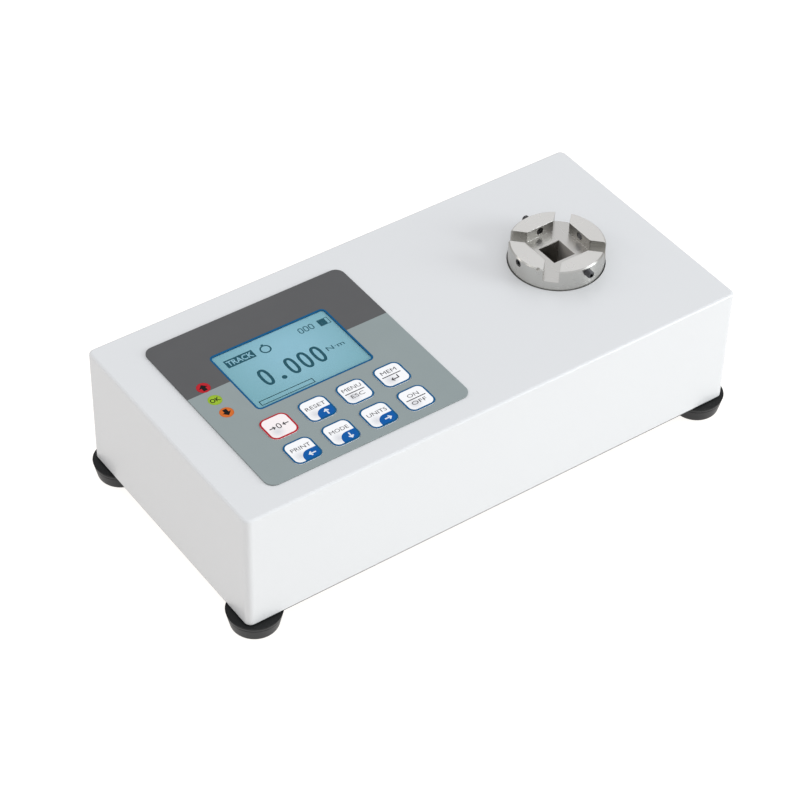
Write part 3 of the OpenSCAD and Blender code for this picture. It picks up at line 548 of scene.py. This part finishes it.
def print_shapes(name, outlines, middle, surface_z, material, body, sink=INK_SINK):
    """Print of one or more outlines, in millimetres round the middle; an inner outline is a hole.

    It stands a hair on its surface and reaches down into what carries it by its sink."""
    curve = bpy.data.curves.new(name, "CURVE")
    curve.dimensions = "2D"
    curve.fill_mode = "BOTH"
    curve.extrude = (INK_RISE + sink) / 2
    for outline in outlines:
        spline = curve.splines.new("POLY")
        spline.points.add(len(outline) - 1)
        for point, (x, y) in zip(spline.points, outline):
            point.co = (x * MM, y * MM, 0, 1)
        spline.use_cyclic_u = True
    mesh = solid_from_curve(name, curve)
    mesh.transform(Matrix.Translation((middle.x, middle.y, surface_z + (INK_RISE - sink) / 2)))
    return keep_piece(bpy.data.objects.new(name, mesh), material, body)


def print_text(name, text, x, y, height, width, middle, surface_z, material, body, bold=0.0):
    """Thin lettering centred on x and y, fitted to a height and a width in millimetres.

    Its strokes grow by the share of the letter size that bold gives."""
    curve = bpy.data.curves.new(name, "FONT")
    curve.body = text
    curve.offset = bold
    curve.resolution_u = 3
    curve.fill_mode = "BOTH"
    curve.extrude = 0.5
    mesh = solid_from_curve(name, curve)
    low = Vector([min(v.co[i] for v in mesh.vertices) for i in range(3)])
    high = Vector([max(v.co[i] for v in mesh.vertices) for i in range(3)])
    size = high - low
    depth = INK_RISE + INK_SINK
    scale = Matrix.Diagonal((width * MM / size.x, height * MM / size.y, depth / size.z, 1))
    mesh.transform(Matrix.Translation(-(low + high) / 2))
    mesh.transform(scale)
    place = Vector((middle.x + x * MM, middle.y + y * MM, surface_z - INK_SINK + depth / 2))
    mesh.transform(Matrix.Translation(place))
    return keep_piece(bpy.data.objects.new(name, mesh), material, body)


# The print on the keys, in millimetres round a key's middle

KEY_W = (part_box("key_zero")[1].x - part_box("key_zero")[0].x) / MM
KEY_R = 4.0
KEY_RIM = 1.0
KEY_GAP = 0.02
TAB_LEFT = -2.4
TAB_TOP = -0.9
TAB_R = 4.6
TAB_LAP = 0.03
LEGEND_H = 2.4
LEGEND_PLACE = (0.2, 1.9)
DIVIDER_LINE = 0.55
DIVIDER_W = 11.0

# How far a key's rim lies below its face, in metres
FACE_STEP = 0.15 * MM

# Arrows: length, head, line and, for a bent tail, its rise
STEP_ARROW = (4.0, 1.5, 0.75)
STEP_ARROW_PLACE = (2.8, -4.1)
ENTER_ARROW = (4.6, 1.35, 0.6, 2.2)
ENTER_ARROW_PLACE = (-0.2, -3.2)
ZERO_ARROW = (3.4, 1.2, 0.6)

# The memory and the zero key: places, and the sizes of the print on them
MEMORY_PLACE = (-0.2, 2.8)
MEMORY_W = 8.6
MEMORY_DIVIDER = (-0.3, 0, 10.6, DIVIDER_LINE)
ZERO_PLACE = (0, 0.1)
ZERO_H = 3.7
ZERO_W = 2.5
ZERO_ARROWS = {"left": (-3.5, 0, 0), "right": (3.6, 0, 180)}

# Keys with a blue corner field: legend, its width and the way that the arrow turns
STEP_KEYS = {
    "reset": ("RESET", 11.0, 90),
    "print": ("PRINT", 10.6, 180),
    "mode": ("MODE", 10.2, 270),
    "units": ("UNITS", 10.8, 0),
}

# Keys with two legends: each legend, its height on the key and its width
SPLIT_KEYS = {
    "menu": {"upper": ("MENU", 2.9, 10.6), "lower": ("ESC", -2.6, 7.4)},
    "power": {"upper": ("ON", 2.6, 6.2), "lower": ("OFF", -2.7, 8.2)},
}


def face(node):
    """Middle of a node and the height of its top."""
    return centre_of(node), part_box(node)[1].z


def tab_outline():
    """Corner field at the near right of a key's face, with a large round at its far left."""
    edge = KEY_W / 2 - KEY_RIM + TAB_LAP
    corner = KEY_R - KEY_RIM
    points = arc(TAB_LEFT + TAB_R, TAB_TOP - TAB_R, TAB_R, 180, -90)
    points += [(edge, TAB_TOP)]
    points += arc(edge - corner, corner - edge, corner, 0, -90)
    points += [(TAB_LEFT, -edge)]
    return points


def key_border(key, material):
    """Coloured frame on the rim of a key."""
    node = f"key_{key}"
    middle, top = face(node)
    outer_w = KEY_W - 2 * KEY_GAP
    inner_w = KEY_W - 2 * KEY_RIM
    outer = rounded(0, 0, outer_w, outer_w, KEY_R - KEY_GAP)
    inner = rounded(0, 0, inner_w, inner_w, KEY_R - KEY_RIM)
    print_shapes(f"border_{key}", [outer, inner], middle, top - FACE_STEP, material, node)


def step_key(key, grey, blue, white):
    """Legend over a blue corner field with a white arrow that points the way it steps."""
    node = f"key_{key}"
    middle, top = face(node)
    text, width, turn = STEP_KEYS[key]
    arrow = placed(line_arrow(*STEP_ARROW), *STEP_ARROW_PLACE, turn)
    print_shapes(f"tab_{key}", [tab_outline()], middle, top, blue, node, FACE_STEP)
    print_shapes(f"tab_arrow_{key}", [arrow], middle, top + INK_RISE, white, node)
    print_text(f"legend_{key}", text, *LEGEND_PLACE, LEGEND_H, width, middle, top, grey, node)


def split_key(key, grey):
    """Two legends, one over the other, parted by a line."""
    node = f"key_{key}"
    middle, top = face(node)
    print_shapes(f"divider_{key}", [bar(0, 0, DIVIDER_W, DIVIDER_LINE)], middle, top, grey, node)
    for part, (text, y, width) in SPLIT_KEYS[key].items():
        print_text(f"legend_{part}_{key}", text, 0, y, LEGEND_H, width, middle, top, grey, node)


def memory_key(grey):
    """Legend over an enter arrow, parted by a line."""
    node = "key_memory"
    middle, top = face(node)
    divider = bar(*MEMORY_DIVIDER)
    enter = placed(line_arrow(*ENTER_ARROW), *ENTER_ARROW_PLACE, 0, True)
    size = (LEGEND_H, MEMORY_W)
    print_shapes("divider_memory", [divider], middle, top, grey, node)
    print_text("legend_memory", "MEM", *MEMORY_PLACE, *size, middle, top, grey, node)
    print_shapes("enter_memory", [enter], middle, top, grey, node)


def zero_key(grey):
    """A zero between two arrows that point at it."""
    node = "key_zero"
    middle, top = face(node)
    print_text("legend_zero", "0", *ZERO_PLACE, ZERO_H, ZERO_W, middle, top, grey, node)
    for side, place in ZERO_ARROWS.items():
        arrow = placed(line_arrow(*ZERO_ARROW), *place)
        print_shapes(f"zero_arrow_{side}", [arrow], middle, top, grey, node)


def print_keys():
    """Borders, corner fields, arrows and legends on the eight keys."""
    blue = ink_finish("ink_blue", PRINT_BLUE, 0.3)
    border_blue = ink_finish("ink_border_blue", BORDER_BLUE, 0.35)
    border_red = ink_finish("ink_border_red", BORDER_RED, 0.35)
    grey = ink_finish("ink_grey", PRINT_GREY)
    white = ink_finish("ink_white", PRINT_WHITE)
    for key in KEYS:
        key_border(key, border_red if key == "zero" else border_blue)
    for key in STEP_KEYS:
        step_key(key, grey, blue, white)
    for key in SPLIT_KEYS:
        split_key(key, grey)
    memory_key(grey)
    zero_key(grey)


# The display's reading and the window's border, in millimetres round the window's middle

DIGIT_PITCH = 7.5
DIGIT_LEFT = -17.4
DIGIT_Y = -4.2
DIGIT_W = 5.7
DIGIT_H = 12.2
DIGIT_LINE = 1.55

# How full the sides of a zero and of its hole are, where 2 gives an ellipse
DIGIT_POWER = 2.5
HOLE_POWER = 2.2

# Which steps of the pitch hold a zero and which the point, and the point's radius and rise
DIGIT_SLOTS = (0, 2, 3, 4)
POINT_SLOT = 1
POINT_R = 1.35
POINT_RISE = 1.3

# Places of what stands round the digits
UNIT_PLACE = (22.8, -3.7)
MODE_PLACE = (-20.7, 13.7)
TIMER_PLACE = (-6.5, 13.0)
KNOB_PLACE = (-6.5, 16.4)
COUNTER_PLACE = (15.0, 14.6)
COUNTER_PITCH = 3.0
COUNTER_DIGITS = 3
CHARGE_PLACE = (27.5, 14.2)
BATTERY_PLACE = (28.2, 14.2)
LEVEL_PLACE = (-14.7, -18.5)

# Lettering: height and width
UNIT_TEXT = (2.9, 9.8)
MODE_TEXT = (3.7, 14.4)
OK_TEXT = (2.8, 5.2)
BOLD = 0.02

# Solid fields: width and depth
MODE_FIELD = (15.9, 5.6)
KNOB_FIELD = (1.3, 0.9)
CHARGE_FIELD = (3.9, 4.0)

# Frames: width, depth, corner radius and line
TIMER_FRAME = (5.9, 5.9, 2.9, 0.8)
COUNTER_FRAME = (2.5, 4.1, 1.2, 0.5)
BATTERY_FRAME = (6.0, 4.8, 0.2, 0.35)
LEVEL_FRAME = (30.4, 3.3, 0.1, 0.42)

# The least corner radius of a frame's hole
LEAST_R = 0.05

# The arrow on a status light: length, head and shaft
MARK_ARROW = (4.6, 4.8, 2.2)

# The window's blue border: its width, its lap over the sleeve, its clearance and its corners
BORDER_W = 0.8
BORDER_LAP = 0.1
BORDER_GAP = 0.01
WINDOW_R = 2.7
BORDER_R = 2.0


def ring(x, y, width, depth, radius, line):
    """Outer and inner outline of a rounded frame of even line."""
    inner = rounded(x, y, width - 2 * line, depth - 2 * line, max(radius - line, LEAST_R))
    return [rounded(x, y, width, depth, radius), inner]


def oval(x, y, width, depth, power):
    """Oval with fuller sides than an ellipse."""
    points = []
    for dx, dy in circle(0, 0, 1):
        points.append((x + math.copysign(abs(dx) ** (2 / power), dx) * width / 2,
                       y + math.copysign(abs(dy) ** (2 / power), dy) * depth / 2))
    return points


def digit_outlines():
    """A point and four zeros on an even pitch."""
    hole_w = DIGIT_W - 2 * DIGIT_LINE
    hole_h = DIGIT_H - 2 * DIGIT_LINE
    point_x = DIGIT_LEFT + POINT_SLOT * DIGIT_PITCH
    outlines = [circle(point_x, DIGIT_Y - DIGIT_H / 2 + POINT_RISE, POINT_R)]
    for slot in DIGIT_SLOTS:
        x = DIGIT_LEFT + slot * DIGIT_PITCH
        outlines.append(oval(x, DIGIT_Y, DIGIT_W, DIGIT_H, DIGIT_POWER))
        outlines.append(oval(x, DIGIT_Y, hole_w, hole_h, HOLE_POWER))
    return outlines


def counter_outlines():
    """Three small zeros."""
    x, y = COUNTER_PLACE
    outlines = []
    for i in range(COUNTER_DIGITS):
        outlines += ring(x + COUNTER_PITCH * i, y, *COUNTER_FRAME)
    return outlines


def print_display():
    """Reading, unit, mode field, timer ring, counter, battery and bar, on the display glass."""
    ink = ink_finish("lcd_ink", LCD_INK, 0.5, 0.0)
    light = ink_finish("lcd_clear", LCD_LIGHT, 0.5, 0.0)
    dark = ink_finish("lcd_line", LCD_LINE, 0.5, 0.0)
    glass = (centre_of("display_window"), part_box("lcd_glass")[1].z)
    field = (glass[0], glass[1] + INK_RISE)
    timer = ring(*TIMER_PLACE, *TIMER_FRAME)
    battery = ring(*BATTERY_PLACE, *BATTERY_FRAME)
    level = ring(*LEVEL_PLACE, *LEVEL_FRAME)
    print_shapes("reading_digits", digit_outlines(), *glass, ink, HOUSING)
    print_text("reading_unit", "N·m", *UNIT_PLACE, *UNIT_TEXT, *glass, ink, HOUSING)
    print_shapes("mode_field", [bar(*MODE_PLACE, *MODE_FIELD)], *glass, ink, HOUSING)
    print_text("mode_word", "TRACK", *MODE_PLACE, *MODE_TEXT, *field, light, HOUSING, BOLD)
    print_shapes("timer_ring", timer, *glass, ink, HOUSING)
    print_shapes("timer_knob", [bar(*KNOB_PLACE, *KNOB_FIELD)], *glass, ink, HOUSING)
    print_shapes("counter_digits", counter_outlines(), *glass, ink, HOUSING)
    print_shapes("battery_mark", [bar(*CHARGE_PLACE, *CHARGE_FIELD)], *glass, ink, HOUSING)
    print_shapes("battery_frame", battery, *glass, ink, HOUSING)
    print_shapes("level_bar", level, *glass, dark, HOUSING)


def print_window_border():
    """Blue border in the depth of the clear window, and its sleeve down to the display glass."""
    low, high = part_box("display_window")
    width, depth = (high.x - low.x) / MM, (high.y - low.y) / MM
    edge = BORDER_W + BORDER_LAP
    outer = rounded(0, 0, width - 2 * BORDER_GAP, depth - 2 * BORDER_GAP, WINDOW_R)
    inner = rounded(0, 0, width - 2 * edge, depth - 2 * edge, BORDER_R)
    middle = centre_of("display_window")
    blue = ink_finish("ink_window_blue", BORDER_BLUE, 0.35)
    print_shapes("window_border", [outer, inner], middle, high.z, blue, HOUSING, high.z - low.z)
    reach = 2 * (BORDER_W + BORDER_GAP)
    sleeve = bar(0, 0, width - reach, depth - reach)
    drop = low.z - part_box("lcd_glass")[1].z
    print_shapes("window_sleeve", [sleeve, inner], middle, low.z, blue, HOUSING, drop)


def print_lights():
    """Marks on the status lights: above the limit, within it and below it."""
    black = ink_finish("ink_black", PRINT_BLACK)
    for tint, turn in (("red", 90), ("orange", 270)):
        arrow = placed(block_arrow(*MARK_ARROW), 0, 0, turn)
        print_shapes(f"mark_{tint}", [arrow], *face(f"light_{tint}"), black, HOUSING)
    print_text("mark_green", "OK", 0, 0, *OK_TEXT, *face("light_green"), black, HOUSING, BOLD)


# Threaded clamp screws

THREAD_PITCH = 0.7 * MM
THREAD_DEPTH = 0.3 * MM
THREAD_SLOPE = 2.6
THREAD_FLAT = 0.15
THREAD_SIDES = 40
THREAD_STEPS = 8
SOCKET_W = 2.0 * MM
SOCKET_DEPTH = 2.5 * MM
END_CHAMFER = 0.5 * MM


def screw_rings(length, crest):
    """Rings of points along +X whose radius follows the thread and the end chamfers."""
    count = int(length / THREAD_PITCH * THREAD_STEPS)
    rings = []
    for i in range(count + 1):
        x = length * i / count
        limit = crest - max(0, END_CHAMFER - x, END_CHAMFER - (length - x))
        row = []
        for j in range(THREAD_SIDES):
            turn = j / THREAD_SIDES
            phase = (x / THREAD_PITCH - turn) % 1.0
            wave = min(1.0, max(0.0, abs(phase - 0.5) * THREAD_SLOPE - THREAD_FLAT))
            radius = min(limit, crest - THREAD_DEPTH * wave)
            angle = 2 * math.pi * turn
            row.append((x, radius * math.cos(angle), radius * math.sin(angle)))
        rings.append(row)
    return rings


def socket_rings(length):
    """The hexagon at the screw's outer end and at the bottom of its socket."""
    rings = []
    for x in (length, length - SOCKET_DEPTH):
        row = []
        for j in range(THREAD_SIDES):
            angle = 2 * math.pi * j / THREAD_SIDES
            within = (angle % (math.pi / 3)) - math.pi / 6
            radius = SOCKET_W / 2 / math.cos(within)
            row.append((x, radius * math.cos(angle), radius * math.sin(angle)))
        rings.append(row)
    return rings


def clamp_screw(side, material):
    """Threaded headless screw in place of the plain one, with the same ends."""
    node = f"clamp_screw_{side}"
    low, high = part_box(node)
    size = high - low
    length = max(size.x, size.y)
    work = bmesh.new()
    rows = screw_rings(length, size.z / 2) + socket_rings(length)
    made = [[work.verts.new(point) for point in row] for row in rows]
    for first, second in zip(made, made[1:]):
        for j in range(THREAD_SIDES):
            after = (j + 1) % THREAD_SIDES
            work.faces.new((first[j], first[after], second[after], second[j]))
    work.faces.new(made[0][::-1])
    work.faces.new(made[-1])
    bmesh.ops.recalc_face_normals(work, faces=work.faces)
    mesh = bpy.data.meshes.new(f"threaded_screw_{side}")
    work.to_mesh(mesh)
    work.free()
    mesh.transform(Matrix.Translation((-length / 2, 0, 0)))
    mesh.transform(Matrix.Rotation(math.radians(CLAMPS[side]), 4, "Z"))
    mesh.transform(Matrix.Translation((low + high) / 2))
    piece = keep_piece(bpy.data.objects.new(mesh.name, mesh), material, node)
    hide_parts(node)


def thread_clamp_screws():
    """Puts a threaded screw in the place of each plain clamp screw."""
    material = steel_finish("threaded_steel", THREADED_STEEL, 0.38)
    for side in CLAMPS:
        clamp_screw(side, material)


# Studio

SKY_LOW = (0.428, 0.416, 0.400, 1)
SKY_HIGH = (0.945, 0.962, 0.995, 1)
BACKDROP = 1.05
FLOOR_SIZE = 16
FLOOR_BASE = (0.3, 0.3, 0.3, 1)
FLOOR_TINT = (1, 0.97, 0.94, 1)
FLOOR_GLOW = 0.55
FLOOR_GLOW_SEEN = 0.95
COOL_WHITE = (0.92, 0.975, 1.0)
WARM_WHITE = (1.0, 0.95, 0.9)

# Lights: place and target in metres, size in metres, power in watts and colour
LIGHTS = {
    "front_light": ((1.9, -2.05, 0.75), (0, 0, 0.05), 1.2, 38, COOL_WHITE),
    "rear_light": ((-1.39, 1.28, 1.06), (0, 0, 0.08), 0.35, 1.1, WARM_WHITE),
    "left_light": ((-1.67, 0.41, 1.38), (0, 0, 0.08), 0.5, 0.9, WARM_WHITE),
}


def make_camera():
    """Camera at the photograph's place and angle."""
    camera = bpy.data.cameras.new("camera")
    camera.sensor_width = SENSOR_MM
    camera.lens = LENS_MM
    camera.clip_start = 0.01
    camera.clip_end = 50
    obj = bpy.data.objects.new("camera", camera)
    back = CAMERA_RIGHT.cross(CAMERA_UP)
    turn = Matrix((CAMERA_RIGHT, CAMERA_UP, back)).transposed().to_4x4()
    obj.matrix_world = Matrix.Translation(CAMERA_PLACE) @ turn
    bpy.context.scene.collection.objects.link(obj)
    bpy.context.scene.camera = obj


def make_world():
    """White behind everything. What is lit or reflected sees a sky that is brighter overhead."""
    world = bpy.data.worlds.new("studio")
    world.use_nodes = True
    tree = world.node_tree
    tree.nodes.clear()
    output = tree.nodes.new("ShaderNodeOutputWorld")
    seen = tree.nodes.new("ShaderNodeBackground")
    seen.inputs["Color"].default_value = (1, 1, 1, 1)
    seen.inputs["Strength"].default_value = BACKDROP
    direction = tree.nodes.new("ShaderNodeTexCoord").outputs["Generated"]
    split = tree.nodes.new("ShaderNodeSeparateXYZ")
    tree.links.new(direction, split.inputs[0])
    sky = tree.nodes.new("ShaderNodeMix")
    sky.data_type = "RGBA"
    tree.links.new(split.outputs[2], sky.inputs["Factor"])
    sky.inputs["A"].default_value = SKY_LOW
    sky.inputs["B"].default_value = SKY_HIGH
    lit = tree.nodes.new("ShaderNodeBackground")
    tree.links.new(sky.outputs["Result"], lit.inputs["Color"])
    path = tree.nodes.new("ShaderNodeLightPath")
    mix = tree.nodes.new("ShaderNodeMixShader")
    tree.links.new(path.outputs["Is Camera Ray"], mix.inputs[0])
    tree.links.new(lit.outputs[0], mix.inputs[1])
    tree.links.new(seen.outputs[0], mix.inputs[2])
    tree.links.new(mix.outputs[0], output.inputs["Surface"])
    bpy.context.scene.world = world


def make_floor():
    """Wide white floor: mostly self-lit, as in a light tent, so that it stays even."""
    bpy.ops.mesh.primitive_plane_add(size=FLOOR_SIZE)
    floor = bpy.context.active_object
    floor.name = "floor"
    material = bpy.data.materials.new("floor_white")
    material.use_nodes = True
    tree = material.node_tree
    shader = tree.nodes["Principled BSDF"]
    shader.inputs["Base Color"].default_value = FLOOR_BASE
    shader.inputs["Roughness"].default_value = 0.8
    shader.inputs["Emission Color"].default_value = FLOOR_TINT
    path = tree.nodes.new("ShaderNodeLightPath")
    glow = tree.nodes.new("ShaderNodeMapRange")
    tree.links.new(path.outputs["Is Camera Ray"], glow.inputs["Value"])
    glow.inputs["To Min"].default_value = FLOOR_GLOW
    glow.inputs["To Max"].default_value = FLOOR_GLOW_SEEN
    tree.links.new(glow.outputs["Result"], shader.inputs["Emission Strength"])
    floor.data.materials.append(material)


def area_light(name, place, target, size, power, colour):
    """Square light that looks at its target."""
    light = bpy.data.lights.new(name, "AREA")
    light.shape = "SQUARE"
    light.size = size
    light.energy = power
    light.color = colour
    obj = bpy.data.objects.new(name, light)
    obj.location = place
    obj.rotation_mode = "QUATERNION"
    obj.rotation_quaternion = (Vector(target) - Vector(place)).to_track_quat("-Z", "Y")
    bpy.context.scene.collection.objects.link(obj)


def set_colours():
    """Colours shown as they are, with no film look."""
    settings = bpy.context.scene.view_settings
    settings.view_transform = "Standard"
    settings.look = "None"
    settings.exposure = 0
    settings.gamma = 1


make_camera()
make_world()
make_floor()
for name, light in LIGHTS.items():
    area_light(name, *light)
set_colours()
finish_cad_nodes()
print_keys()
print_display()
print_window_border()
print_lights()
thread_clamp_screws()
